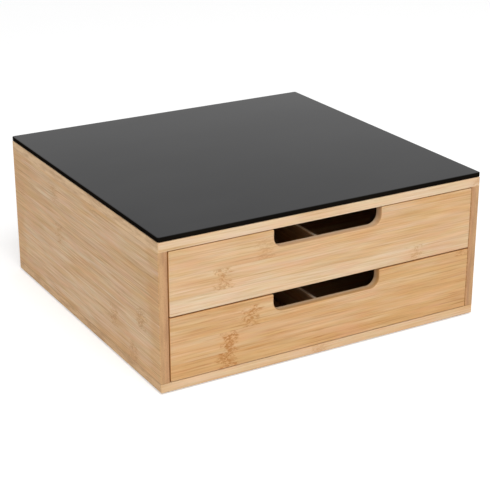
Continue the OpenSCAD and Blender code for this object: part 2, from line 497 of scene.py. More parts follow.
@dataclass(frozen=True)
class Lamination:
    """How a board is glued up from strips, lowest strip first. Places are in mm of the frame."""

    lay: GrainLay
    first_mm: float
    pitch_mm: float
    strips: tuple[Strip, ...]
    seam_mm: Range = (0.22, 0.05)
    tone_shuffle: float = 173.0
    knuckle_shuffle: float = 91.0

    @classmethod
    def by_chance(
        cls, node: str, lay: GrainLay, seed: int, chance: StripChance = StripChance()
    ) -> "Lamination":
        """Glues up a board whose strips are not planned one by one.

        Args:
            node: CAD node of the board.
            lay: How the grain runs.
            seed: Start of the random draws.
            chance: Ranges of the draws.

        Returns:
            The lamination.
        """
        draw = random.Random(seed)
        low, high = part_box(node)
        along, across, _ = lay.value
        first = low[across] / MM - draw.uniform(*chance.first_cut) * chance.pitch_mm
        count = math.ceil((high[across] / MM - first) / chance.pitch_mm)
        ends = low[along] / MM, high[along] / MM
        ranges = chance.tone, chance.warmth, ends, chance.strength
        strips = tuple(Strip(*(draw.uniform(*limits) for limits in ranges)) for _ in range(count))
        return cls(lay, first, chance.pitch_mm, strips)

    def marks(self, sheet: NodeSheet, place: BoardPlace) -> StripMarks:
        """Looks up the strip under each point, in a ramp that holds the plan of the strips.

        Args:
            sheet: Node sheet of the board's material.
            place: Place on the board.

        Returns:
            What is known of the strip.
        """
        count = len(self.strips)
        stops: list[Stop] = []
        for number, strip in enumerate(self.strips):
            share = (strip.knuckle_mm - place.low) / (place.high - place.low)
            stops.append((number / count, (strip.tone, share, strip.strength, strip.warmth)))
        reach = self.first_mm + self.pitch_mm * count
        plan = sheet.ramp(sheet.line(place.across, self.first_mm, reach), stops, steps=True)
        parts = sheet.add("ShaderNodeSeparateColor")
        sheet.feed(parts.inputs[0], plan.outputs["Color"])
        tone, knuckle, strength = parts.outputs
        shuffle = sheet.weigh(
            (self.tone_shuffle, tone), (self.knuckle_shuffle, knuckle), (1.0, place.through)
        )
        solid = sheet.join(place.along, place.across, shuffle)
        return StripMarks(tone, knuckle, strength, plan.outputs["Alpha"], shuffle, solid)

    def seams(self, sheet: NodeSheet, place: BoardPlace) -> Socket:
        """Marks the glue lines between the strips.

        Args:
            sheet: Node sheet of the board's material.
            place: Place on the board.

        Returns:
            1 on a glue line and 0 elsewhere.
        """
        from_first = sheet.math("SUBTRACT", place.across, self.first_mm)
        return sheet.span(sheet.math("PINGPONG", from_first, self.pitch_mm / 2), *self.seam_mm)


@dataclass(frozen=True)
class KnuckleMarks:
    """Knuckles under a point: dark specks, pale specks, and the place as they bend the fibres."""

    dark: Socket
    pale: Socket
    bent: Socket


@dataclass(frozen=True)
class KnuckleForm:
    """Ragged knuckles, the joints of the cane, which bend the fibres beside them."""

    half_mm: float = 10.0
    core_mm: float = 2.0
    ragged_mm: float = 8.0
    ragged_noise: Range = (0.25, 0.75)
    swirl_mm: float = 3.0
    swirl_noise: Range = (0.3, 0.7)
    slant: float = 0.35
    dark_noise: Range = (0.45, 0.58)
    least_dark: float = 0.16
    pale_noise: Range = (0.45, 0.36)
    most_pale: float = 0.45

    def marks(self, sheet: NodeSheet, place: BoardPlace, strips: StripMarks) -> KnuckleMarks:
        """Lays out the knuckles of a board.

        Args:
            sheet: Node sheet of the board's material.
            place: Place on the board.
            strips: Strip under the point.

        Returns:
            The knuckles.
        """
        ragged = sheet.noise(strips.solid, Grain.RAGGED.value)
        ragged = sheet.line(ragged, *self.ragged_noise, -self.ragged_mm, self.ragged_mm)
        knuckle = sheet.line(strips.knuckle, 0.0, 1.0, place.low, place.high)
        distance = sheet.size(sheet.math("ADD", sheet.math("SUBTRACT", place.along, knuckle), ragged))
        near = sheet.times(sheet.span(distance, self.half_mm, self.core_mm), strips.strength)
        slanted = sheet.math("ADD", place.across, sheet.times(distance, self.slant))
        speck = sheet.noise(sheet.join(place.along, slanted, strips.shuffle), Grain.SPECK.value)
        dark = sheet.times(near, sheet.span(speck, *self.dark_noise, self.least_dark, 1.0))
        pale = sheet.times(near, sheet.span(speck, *self.pale_noise, 0.0, self.most_pale))
        swirl = sheet.noise(strips.solid, Grain.SWIRL.value)
        swirl = sheet.line(swirl, *self.swirl_noise, -self.swirl_mm, self.swirl_mm)
        across = sheet.math("ADD", place.across, sheet.times(near, swirl))
        return KnuckleMarks(dark, pale, sheet.join(place.along, across, strips.shuffle))


@dataclass(frozen=True)
class FibreMarks:
    """Fibres under a point at three widths, with short dark dashes and long dark threads."""

    fine: Socket
    streak: Socket
    band: Socket
    dash: Socket
    thread: Socket


@dataclass(frozen=True)
class FibreForm:
    """Fibres of the bamboo, with the noise levels that make dashes and threads."""

    dash_noise: Range = (0.58, 0.70)
    thread_noise: Range = (0.026, 0.004)

    def marks(self, sheet: NodeSheet, bent: Socket) -> FibreMarks:
        """Lays out the fibres of a board.

        Args:
            sheet: Node sheet of the board's material.
            bent: Place on the board, bent round the knuckles.

        Returns:
            The fibres.
        """
        from_middle = sheet.math("SUBTRACT", sheet.noise(bent, Grain.THREAD.value), 0.5)
        return FibreMarks(
            fine=sheet.noise(bent, Grain.FIBRE.value),
            streak=sheet.noise(bent, Grain.STREAK.value),
            band=sheet.noise(bent, Grain.BAND.value),
            dash=sheet.span(sheet.noise(bent, Grain.DASH.value), *self.dash_noise),
            thread=sheet.span(sheet.size(from_middle), *self.thread_noise),
        )


@dataclass(frozen=True)
class BoardMarks:
    """All that is laid out on a board before it is coloured."""

    place: BoardPlace
    strips: StripMarks
    knuckles: KnuckleMarks
    fibres: FibreMarks
    seam: Socket


@dataclass(frozen=True)
class EndGrain:
    """End grain with the cut fibres as dots in layers, in one ply, or in two where there is an inner ply."""

    ply: Colour = tint(199, 158, 119)
    dot: Colour = tint(140, 98, 66)
    dots_per_mm: Triple = (0.02, 1.15, 1.15)
    dot_cells: Range = (0.34, 0.14)
    dot_share: float = 0.5
    layer_noise: Range = (0.40, 0.66)
    layer_share: float = 0.35
    inner_ply: Colour | None = None
    outer_ply_mm: float = 4.0
    ply_blur_mm: float = 1.6

    def colour(self, sheet: NodeSheet, marks: BoardMarks) -> Socket:
        """Colours the end grain of a board.

        Args:
            sheet: Node sheet of the board's material.
            marks: What is laid out on the board.

        Returns:
            The colour.
        """
        ply: Paint = self.ply
        if self.inner_ply:
            border = marks.place.outside - self.outer_ply_mm
            depth = sheet.size(marks.place.through)
            outer = sheet.span(depth, border - self.ply_blur_mm, border + self.ply_blur_mm)
            ply = sheet.blend(outer, self.inner_ply, self.ply)
        dots = sheet.span(sheet.cells(marks.strips.solid, self.dots_per_mm), *self.dot_cells)
        layer = sheet.noise(marks.place.spot, Grain.LAYER.value)
        cut = sheet.blend(sheet.times(dots, self.dot_share), ply, self.dot)
        return sheet.blend(sheet.line(layer, *self.layer_noise, 0.0, self.layer_share), cut, self.dot)


@dataclass(frozen=True)
class RimTone:
    """Colour of a board's narrow edges, and of the two plies that show in the edge of a finger slot."""

    edge: Colour
    share: float
    slot_front: Colour | None = None
    slot_back: Colour | None = None
    slot_half_mm: float = 54.0
    slot_fade_mm: float = 1.5
    slot_reach_mm: Range = (30.0, 25.0)
    ply_border_mm: Range = (-1.5, 2.0)
    slope: Range = (0.6, 0.3)

    def over(self, sheet: NodeSheet, place: BoardPlace, colour: Socket) -> Socket:
        """Colours the narrow edges of a board.

        Args:
            sheet: Node sheet of the board's material.
            place: Place on the board.
            colour: Colour of the board so far.

        Returns:
            The colour with the edges in it.
        """
        tone: Paint = self.edge
        if self.slot_front and self.slot_back:
            half = self.slot_half_mm
            beside = sheet.span(sheet.size(place.along), half + self.slot_fade_mm, half)
            above = sheet.span(place.across, *(place.head - reach for reach in self.slot_reach_mm))
            behind = sheet.span(place.through, *(place.middle + step for step in self.ply_border_mm))
            slot_tone = sheet.blend(behind, self.slot_front, self.slot_back)
            tone = sheet.blend(sheet.times(beside, above), self.edge, slot_tone)
        facing = sheet.size(place.face_normal)
        return sheet.blend(sheet.span(facing, *self.slope, 0.0, self.share), colour, tone)


@dataclass(frozen=True)
class SideTone:
    """Colour of an outer side: warmer and darker towards both ends and the foot, wide clouds, and a dark
    line along the base.
    """

    glow: float = 0.9
    glow_end_mm: float = 26.0
    glow_foot_mm: float = 9.0
    glow_bands: Range = (0.30, 0.52)
    cloud: float = 1.3
    foot_line: float = 0.7
    foot_line_mm: Range = (1.1, 0.3)
    foot_line_bands: Range = (0.25, 0.55)
    least_foot_line: float = 0.4

    def warm(self, sheet: NodeSheet, marks: BoardMarks, warmth: Socket) -> Socket:
        """Adds the clouds and the warmer ends and foot.

        Args:
            sheet: Node sheet of the board's material.
            marks: What is laid out on the board.
            warmth: Warmth of the board so far.

        Returns:
            The new warmth.
        """
        place = marks.place
        cloud = sheet.noise(place.spot, Grain.CLOUD.value)
        warmth = sheet.weigh((1.0, warmth), (self.cloud, cloud), (1.0, -0.5 * self.cloud))
        from_low = sheet.math("SUBTRACT", place.along, place.low)
        to_high = sheet.math("SUBTRACT", place.high, place.along)
        near_end = sheet.span(sheet.math("MINIMUM", from_low, to_high), self.glow_end_mm, 0.0)
        from_foot = sheet.math("SUBTRACT", place.across, place.foot)
        glow = sheet.math("MAXIMUM", near_end, sheet.span(from_foot, self.glow_foot_mm, 0.0))
        glow = sheet.times(glow, sheet.span(marks.fibres.band, *self.glow_bands))
        return sheet.weigh((1.0, warmth), (self.glow, glow))

    def foot_share(self, sheet: NodeSheet, marks: BoardMarks) -> Socket:
        """Marks the dark line along the foot.

        Args:
            sheet: Node sheet of the board's material.
            marks: What is laid out on the board.

        Returns:
            Share of the line's colour.
        """
        from_foot = sheet.math("SUBTRACT", marks.place.across, marks.place.foot)
        line = sheet.span(from_foot, *self.foot_line_mm, 0.0, self.foot_line)
        uneven = sheet.span(marks.fibres.band, *self.foot_line_bands, self.least_foot_line, 1.0)
        return sheet.times(line, uneven)


@dataclass(frozen=True)
class MarkShares:
    """How much each mark on a board counts in a sum, and the number that is added to the sum."""

    tone: float = 0.0
    patch: float = 0.0
    band: float = 0.0
    streak: float = 0.0
    fine: float = 0.0
    dash: float = 0.0
    thread: float = 0.0
    seam: float = 0.0
    knuckle: float = 0.0
    end: float = 0.0
    added: float = 0.0


@dataclass(frozen=True)
class BambooFinish:
    """Laminated bamboo with strips, fibres, knuckles, end grain and a satin lacquer.

    The cool and the warm colours run from dark to light. The casts rosy, olive, ash and amber are
    factors that barely tint the wood.
    """

    cool: tuple[Colour, Colour, Colour] = (tint(196, 155, 108), tint(223, 193, 157), tint(238, 215, 186))
    warm: tuple[Colour, Colour, Colour] = (tint(180, 124, 66), tint(209, 163, 109), tint(229, 190, 140))
    shade_stops: Triple = (0.05, 0.5, 0.95)
    blush: Colour = tint(216, 168, 132)
    blush_noise: Range = (0.50, 0.72)
    blush_share: float = 0.40
    rosy: Colour = (1.012, 0.985, 1.004)
    olive: Colour = (0.988, 1.015, 0.996)
    ash: Colour = (0.982, 0.998, 1.022)
    amber: Colour = (1.018, 1.002, 0.978)
    cast_noise: Range = (0.36, 0.64)
    glint: Colour = tint(232, 184, 132)
    knuckle: Colour = tint(178, 118, 58)
    knuckle_share: float = 0.85
    seam: Colour = tint(168, 122, 74)
    seam_share: float = 0.35
    ends: EndGrain = EndGrain()
    end_slope: Range = (0.55, 0.80)
    rims: RimTone | None = None
    side_tone: SideTone | None = None
    knuckles: KnuckleForm = KnuckleForm()
    fibres: FibreForm = FibreForm()
    light: MarkShares = MarkShares(tone=0.8, band=0.30, streak=0.28, dash=-0.14, thread=-0.13, added=-0.14)
    heat: MarkShares = MarkShares(patch=1.7, streak=0.20, knuckle=0.30, added=-0.95)
    dullness: MarkShares = MarkShares(fine=0.22, streak=0.10, end=0.10, added=-0.16)
    relief: MarkShares = MarkShares(fine=0.5, streak=0.4, dash=-0.35, seam=-0.6, knuckle=-0.3)
    contrast: float = 1.0
    fibre: float = 0.75
    lean: float = 0.0
    lean_mm: Range = (20.0, 140.0)
    rough: float = 0.5
    gloss: float = 0.3
    bump_share: float = 0.35
    bump_mm: float = 0.25

    def shade(self, sheet: NodeSheet, marks: BoardMarks) -> Socket:
        """Works out how light the wood is.

        Args:
            sheet: Node sheet of the board's material.
            marks: What is laid out on the board.

        Returns:
            The lightness, 0 to 1.
        """
        fibres, shares = marks.fibres, self.light
        return sheet.weigh(
            (shares.tone, marks.strips.tone),
            (shares.band, fibres.band),
            (shares.streak * self.contrast, fibres.streak),
            (self.fibre, fibres.fine),
            (shares.dash * self.contrast, fibres.dash),
            (shares.thread * self.contrast, fibres.thread),
            (1.0, shares.added * self.contrast - self.fibre / 2),
        )

    def warmth(self, sheet: NodeSheet, marks: BoardMarks) -> Socket:
        """Works out how warm the wood is.

        Args:
            sheet: Node sheet of the board's material.
            marks: What is laid out on the board.

        Returns:
            The warmth, from 0 for cool to 1 for warm.
        """
        warmth = sheet.weigh(
            (1.0, marks.strips.warmth),
            (self.heat.patch, sheet.noise(marks.knuckles.bent, Grain.WARM_PATCH.value)),
            (self.heat.streak, marks.fibres.streak),
            (self.heat.knuckle, marks.knuckles.dark),
            (1.0, self.heat.added),
        )
        if self.lean:
            warmth = sheet.weigh((1.0, warmth), (self.lean, sheet.span(marks.place.along, *self.lean_mm)))
        if self.side_tone:
            warmth = self.side_tone.warm(sheet, marks, warmth)
        return warmth

    def face(self, sheet: NodeSheet, marks: BoardMarks) -> Socket:
        """Colours the wood along the grain.

        Args:
            sheet: Node sheet of the board's material.
            marks: What is laid out on the board.

        Returns:
            The colour.
        """
        shade = self.shade(sheet, marks)
        colour = sheet.blend(
            sheet.line(self.warmth(sheet, marks), 0.0, 1.0),
            sheet.ramp(shade, list(zip(self.shade_stops, self.cool))).outputs["Color"],
            sheet.ramp(shade, list(zip(self.shade_stops, self.warm))).outputs["Color"],
        )
        bent = marks.knuckles.bent
        blush = sheet.span(sheet.noise(bent, Grain.BLUSH.value), *self.blush_noise, 0.0, self.blush_share)
        colour = sheet.blend(blush, colour, self.blush)
        casts = (Grain.ROSE, self.rosy, self.olive), (Grain.EMBER, self.ash, self.amber)
        for grain, first, second in casts:
            cast = sheet.blend(sheet.span(sheet.noise(bent, grain.value), *self.cast_noise), first, second)
            colour = sheet.blend(1.0, colour, cast, Mixing.STAIN)
        colour = sheet.blend(marks.knuckles.pale, colour, self.glint)
        colour = sheet.blend(sheet.times(marks.knuckles.dark, self.knuckle_share), colour, self.knuckle)
        return sheet.blend(sheet.times(marks.seam, self.seam_share), colour, self.seam)

    def surface(self, sheet: NodeSheet, shader: bpy.types.Node, marks: BoardMarks, at_end: Socket) -> None:
        """Sets the sheen and the fine relief of the wood.

        Args:
            sheet: Node sheet of the board's material.
            shader: Main shader of the material.
            marks: What is laid out on the board.
            at_end: 1 on end grain and 0 elsewhere.
        """
        fibres, relief = marks.fibres, self.relief
        rough = sheet.weigh(
            (self.dullness.fine, fibres.fine),
            (self.dullness.streak, fibres.streak),
            (self.dullness.end, at_end),
            (1.0, self.rough + self.dullness.added),
        )
        height = sheet.weigh(
            (relief.fine, fibres.fine),
            (relief.streak, fibres.streak),
            (relief.dash, fibres.dash),
            (relief.seam, marks.seam),
            (relief.knuckle, marks.knuckles.dark),
        )
        sheet.feed(shader.inputs["Roughness"], rough)
        sheet.feed(shader.inputs["Normal"], sheet.bump(height, self.bump_share, self.bump_mm * MM))
        shader.inputs["Specular IOR Level"].default_value = self.gloss

    def material(self, name: str, board: Lamination, box: Box) -> bpy.types.Material:
        """Makes the finish for one board.

        Args:
            name: Name of the material.
            board: How the board is glued up.
            box: Lowest and highest corner of the board.

        Returns:
            The material.
        """
        material, sheet, shader = new_finish(name)
        place = BoardPlace.on(sheet, board.lay, box)
        strips = board.marks(sheet, place)
        knuckles = self.knuckles.marks(sheet, place, strips)
        fibres = self.fibres.marks(sheet, knuckles.bent)
        marks = BoardMarks(place, strips, knuckles, fibres, board.seams(sheet, place))
        at_end = sheet.span(sheet.size(place.end_normal), *self.end_slope)
        colour = sheet.blend(at_end, self.face(sheet, marks), self.ends.colour(sheet, marks))
        if self.side_tone:
            colour = sheet.blend(self.side_tone.foot_share(sheet, marks), colour, self.seam)
        if self.rims:
            colour = self.rims.over(sheet, place, colour)
        sheet.feed(shader.inputs["Base Color"], colour)
        self.surface(sheet, shader, marks, at_end)
        return material


# The boards inside the box are sanded, not lacquered, so rougher; their colours are made darker as painted
# shade for the inside of the box.
INNER_BAMBOO_SHADE_DARKENED = BambooFinish(
    cool=(tint(160, 124, 88), tint(196, 164, 128), tint(214, 186, 152)),
    warm=(tint(146, 98, 52), tint(184, 138, 88), tint(204, 162, 114)),
    knuckle=tint(140, 92, 48),
    glint=tint(200, 156, 108),
    blush=tint(190, 144, 108),
    ends=EndGrain(ply=tint(176, 138, 102)),
    rough=0.62,
)


@dataclass(frozen=True)
class PegFinish:
    """Turned bamboo pegs with fibre dots."""

    body: Colour = tint(196, 152, 104)
    deep: Colour = tint(132, 90, 52)
    dots_per_mm: Triple = (1.6, 1.6, 1.6)
    dot_cells: Range = (0.42, 0.12)
    dot_share: float = 0.6
    cloud: Waves = Waves((0.5, 0.5, 0.5), detail=3.0)
    cloud_share: float = 0.6
    rough: float = 0.62
    rough_swing: float = 0.2
    bump_share: float = 0.3
    bump_mm: float = 0.15

    def material(self, name: str) -> bpy.types.Material:
        """Makes the finish.

        Args:
            name: Name of the material.

        Returns:
            The material.
        """
        material, sheet, shader = new_finish(name)
        place, _ = sheet.coordinates()
        dots = sheet.span(sheet.cells(place, self.dots_per_mm), *self.dot_cells)
        cloud = sheet.noise(place, self.cloud)
        shade = sheet.weigh((self.dot_share, dots), (self.cloud_share, cloud))
        sheet.feed(shader.inputs["Base Color"], sheet.blend(shade, self.body, self.deep))
        sheet.feed(shader.inputs["Roughness"], sheet.about(self.rough, self.rough_swing, cloud))
        sheet.feed(shader.inputs["Normal"], sheet.bump(shade, self.bump_share, self.bump_mm * MM))
        return material


@dataclass(frozen=True)
class GlassFinish:
    """Polished black glass with the faintest smears and specks of dust."""

    body: Colour = (0.006, 0.006, 0.007)
    haze: Colour = (0.010, 0.010, 0.011)
    smear: Waves = Waves((0.011, 0.018, 0.02), detail=3.0)
    haze_noise: Range = (0.35, 0.7)
    smear_noise: Range = (0.4, 0.75)
    smear_rough: float = 0.05
    dust_per_mm: Triple = (0.35, 0.35, 0.35)
    dust_cells: Range = (0.10, 0.02)
    dust_rough: float = 0.05
    rough: float = 0.02
    gloss: float = 0.5

    def material(self, name: str) -> bpy.types.Material:
        """Makes the finish.

        Args:
            name: Name of the material.

        Returns:
            The material.
        """
        material, sheet, shader = new_finish(name)
        place, _ = sheet.coordinates()
        smear = sheet.noise(place, self.smear)
        dust = sheet.span(sheet.cells(place, self.dust_per_mm), *self.dust_cells)
        haze = sheet.span(smear, *self.haze_noise)
        sheet.feed(shader.inputs["Base Color"], sheet.blend(haze, self.body, self.haze))
        smeared = sheet.span(smear, *self.smear_noise)
        rough = sheet.weigh((self.smear_rough, smeared), (self.dust_rough, dust), (1.0, self.rough))
        sheet.feed(shader.inputs["Roughness"], rough)
        shader.inputs["Specular IOR Level"].default_value = self.gloss
        return material


@dataclass(frozen=True)
class SteelFinish:
    """Zinc plated steel with fine turning marks."""

    body: Colour = (0.62, 0.62, 0.60)
    dull: Colour = (0.40, 0.40, 0.39)
    cloud: Waves = Waves((0.9, 0.9, 0.9), detail=3.0)
    cloud_noise: Range = (0.35, 0.7)
    turning: Waves = Waves((0.4, 0.4, 6.0))
    rough: float = 0.32
    rough_swing: float = 0.3
    bump_share: float = 0.2
    bump_mm: float = 0.05

    def material(self, name: str) -> bpy.types.Material:
        """Makes the finish.

        Args:
            name: Name of the material.

        Returns:
            The material.
        """
        material, sheet, shader = new_finish(name)
        place, _ = sheet.coordinates()
        dull = sheet.span(sheet.noise(place, self.cloud), *self.cloud_noise)
        turning = sheet.noise(place, self.turning)
        sheet.feed(shader.inputs["Base Color"], sheet.blend(dull, self.body, self.dull))
        sheet.feed(shader.inputs["Roughness"], sheet.about(self.rough, self.rough_swing, turning))
        sheet.feed(shader.inputs["Normal"], sheet.bump(turning, self.bump_share, self.bump_mm * MM))
        shader.inputs["Metallic"].default_value = 1.0
        return material


@dataclass(frozen=True)
class RubberFinish:
    """Soft rubber or gel with a fine pebbled skin."""

    body: Colour
    deep: Colour
    rough: float
    rough_swing: float = 0.2
    pebbles_per_mm: Triple = (2.2, 2.2, 2.2)
    cloud: Waves = Waves((0.3, 0.3, 0.3), detail=3.0)
    bump_share: float = 0.4
    bump_mm: float = 0.1

    def material(self, name: str) -> bpy.types.Material:
        """Makes the finish.

        Args:
            name: Name of the material.

        Returns:
            The material.
        """
        material, sheet, shader = new_finish(name)
        place, _ = sheet.coordinates()
        pebble = sheet.cells(place, self.pebbles_per_mm)
        cloud = sheet.noise(place, self.cloud)
        sheet.feed(shader.inputs["Base Color"], sheet.blend(cloud, self.body, self.deep))
        sheet.feed(shader.inputs["Roughness"], sheet.about(self.rough, self.rough_swing, cloud))
        sheet.feed(shader.inputs["Normal"], sheet.bump(pebble, self.bump_share, self.bump_mm * MM))
        return material


@dataclass(frozen=True)
class FloorFinish:
    """Matt white floor that stays white behind the object and keeps its shadow."""

    body: Colour = (0.80, 0.80, 0.80)
    worn: Colour = (0.78, 0.78, 0.78)
    cloud: Waves = Waves((1.5, 1.5, 1.5))
    rough: float = 0.9
    lift: Range = (0.44, 0.60)
    lift_reach: Range = (1.0, 5.0)

    def material(self, name: str) -> bpy.types.Material:
        """Makes the finish.

        Args:
            name: Name of the material.

        Returns:
            The material.
        """
        material, sheet, shader = new_finish(name)
        place = sheet.add("ShaderNodeTexCoord").outputs["Object"]
        cloud = sheet.noise(place, self.cloud)
        sheet.feed(shader.inputs["Base Color"], sheet.blend(cloud, self.body, self.worn))
        shader.inputs["Roughness"].default_value = self.rough
        shader.inputs["Specular IOR Level"].default_value = 0.0
        path = sheet.add("ShaderNodeLightPath")
        seen = sheet.math("MAXIMUM", path.outputs["Is Camera Ray"], path.outputs["Is Glossy Ray"])
        seen = sheet.math("MAXIMUM", seen, path.outputs["Is Transmission Ray"])
        away = sheet.add("ShaderNodeVectorMath", operation="LENGTH")
        sheet.feed(away.inputs[0], place)
        lift = sheet.span(away.outputs["Value"], *self.lift_reach, *self.lift)
        shader.inputs["Emission Color"].default_value = WHITE
        sheet.feed(shader.inputs["Emission Strength"], sheet.times(seen, lift))
        return material


def arc(centre: Point2, radius: float, start: float, end: float, steps: int) -> list[Point2]:
    """Lays points along a quarter turn or any other arc.

    Args:
        centre: Middle of the arc.
        radius: Radius of the arc.
        start: First angle in degrees.
        end: Last angle in degrees.
        steps: Number of chords.

    Returns:
        The points from start to end.
    """
    points = []
    for count in range(steps + 1):
        angle = math.radians(start + (end - start) * count / steps)
        points.append((centre[0] + radius * math.cos(angle), centre[1] + radius * math.sin(angle)))
    return points


@dataclass(frozen=True)
class EasedSlab:
    """A flat board or sheet with a free outline and rounded rims on both faces.

    The outline is a function that gives the points, counter-clockwise, drawn in by a distance.
    """

    outline: Callable[[float], list[Point2]]
    low: float
    high: float
    rim: float
    rim_steps: int = 4
    holding: float = 0.8 * MM

    def rings(self) -> list[tuple[list[Point2], float]]:
        """Lays the outlines one above the other, with one more inside each rim to keep the face flat.

        Returns:
            The outlines and their levels, from the low face to the high face.
        """
        lower = [(self.rim + self.holding, self.low)]
        for count in range(self.rim_steps + 1):
            turn = math.radians(90 * count / self.rim_steps)
            lower.append((self.rim * (1 - math.sin(turn)), self.low + self.rim * (1 - math.cos(turn))))
        upper = [(drawn_in, self.high + self.low - level) for drawn_in, level in reversed(lower)]
        return [(self.outline(drawn_in), level) for drawn_in, level in lower + upper]

    def mesh(self, name: str, upright: bool) -> bpy.types.Mesh:
        """Builds the mesh.

        Args:
            name: Name of the mesh.
            upright: True if the outline is in X and Z and the levels are along Y, or else along Z.

        Returns:
            The mesh, with smooth rims.
        """
        rings = self.rings()
        count = len(rings[0][0])
        points = [
            (point[0], level, point[1]) if upright else (point[0], point[1], level)
            for ring, level in rings
            for point in ring
        ]
        faces = [tuple(range(count))[::-1]]
        for lower in range(len(rings) - 1):
            start, above = lower * count, (lower + 1) * count
            for first in range(count):
                second = (first + 1) % count
                faces.append((start + first, start + second, above + second, above + first))
        faces.append(tuple(range((len(rings) - 1) * count, len(rings) * count)))
        if upright:
            faces = [face[::-1] for face in faces]
        mesh = bpy.data.meshes.new(name)
        mesh.from_pydata(points, [], faces)
        mesh.shade_smooth()
        mesh.validate()
        return mesh


def place_piece(name: str, mesh: bpy.types.Mesh, body: str, node: str) -> bpy.types.Object:
    """Puts a new piece into the scene in place of a CAD node.

    Args:
        name: Name of the piece.
        mesh: Its mesh, in the shared frame.
        body: Body that it moves with.
        node: CAD node that it stands for.

    Returns:
        The new object.
    """
    piece = bpy.data.objects.new(name, mesh)
    bpy.context.scene.collection.objects.link(piece)
    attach(piece, body)
    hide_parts(node)
    LOG.info("piece %s rides on %s and stands for %s", name, body, node)
    return piece


def dress_node(node: str, material: bpy.types.Material) -> None:
    """Gives a CAD node its finish.

    Args:
        node: Name of the node.
        material: The finish.
    """
    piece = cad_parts[node]
    piece.data.materials.clear()
    piece.data.materials.append(material)
    LOG.info("node %s takes the finish %s", node, material.name)


def dress_board(node: str, finish: BambooFinish, board: Lamination) -> None:
    """Gives a CAD board its own bamboo.

    Args:
        node: Name of the node.
        finish: Bamboo finish.
        board: How the board is glued up.
    """
    dress_node(node, finish.material(f"bamboo_{node}", board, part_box(node)))


@dataclass
class Carcass:
    """The open box: base, top, sides, back, runners and what holds them together.

    The strips and knuckles of the left side are placed as they show in the photograph.
    """

    sides: BambooFinish = BambooFinish(
        ends=EndGrain(ply=tint(204, 162, 117), inner_ply=tint(199, 153, 111)),
        side_tone=SideTone(),
        contrast=1.15,
        fibre=1.5,
        lean=0.26,
    )
    # The base's end grain is coloured a little darker than the top's, as painted shade on the base.
    base: BambooFinish = BambooFinish(
        ends=EndGrain(ply=tint(224, 186, 140), dot=tint(170, 124, 80), layer_share=0.6)
    )
    top: BambooFinish = BambooFinish(
        ends=EndGrain(ply=tint(232, 197, 154), dot=tint(182, 138, 96), layer_share=0.6)
    )
    inner: BambooFinish = INNER_BAMBOO_SHADE_DARKENED
    peg: PegFinish = PegFinish()
    screw: SteelFinish = SteelFinish()
    foot: RubberFinish = RubberFinish(body=(0.035, 0.035, 0.037), deep=(0.020, 0.020, 0.021), rough=0.85)
    pad: RubberFinish = RubberFinish(body=(0.75, 0.76, 0.76), deep=(0.66, 0.67, 0.68), rough=0.30)
    plain_strips: StripChance = StripChance()
    base_strips: StripChance = StripChance(tone=(0.46, 0.60), warmth=(0.22, 0.50))
    top_strips: StripChance = StripChance(tone=(0.50, 0.66), warmth=(0.08, 0.36))
    left_side: Lamination = Lamination(
        GrainLay.DEEP_UPRIGHT,
        first_mm=-8.0,
        pitch_mm=17.5,
        strips=(
            Strip(0.46, 0.70, 20.0, 0.0),
            Strip(0.53, 0.46, -101.0, 0.60),
            Strip(0.55, 0.50, -65.0, 0.56),
            Strip(0.49, 0.58, -117.0, 0.60),
            Strip(0.51, 0.62, 46.0, 0.50),
            Strip(0.47, 0.66, 130.0, 0.20),
            Strip(0.52, 0.58, 54.0, 0.42),
            Strip(0.54, 0.68, -30.0, 0.24),
        ),
    )

    def dress_boards(self) -> None:
        """Gives every board of the carcass its bamboo, all but the left side by chance."""
        dress_board("left_side_panel", self.sides, self.left_side)
        for node, finish, lay, seed, chance in (
            ("right_side_panel", self.sides, GrainLay.DEEP_UPRIGHT, 11, self.plain_strips),
            ("base_panel", self.base, GrainLay.ACROSS_FLAT, 21, self.base_strips),
            ("top_panel", self.top, GrainLay.ACROSS_FLAT, 22, self.top_strips),
            ("back_panel", self.inner, GrainLay.ACROSS_UPRIGHT, 31, self.plain_strips),
            ("left_runner", self.inner, GrainLay.DEEP_UPRIGHT, 41, self.plain_strips),
            ("right_runner", self.inner, GrainLay.DEEP_UPRIGHT, 42, self.plain_strips),
        ):
            dress_board(node, finish, Lamination.by_chance(node, lay, seed, chance))

    def dress_fasteners(self) -> None:
        """Gives the dowels, screws and pads their finish."""
        dress_node("top_dowels", self.peg.material("peg_top_dowels"))
        dress_node("base_screws", self.screw.material("zinc_base_screws"))
        dress_node("foot_pads", self.foot.material("foam_foot_pads"))
        dress_node("bonding_pads", self.pad.material("gel_bonding_pads"))


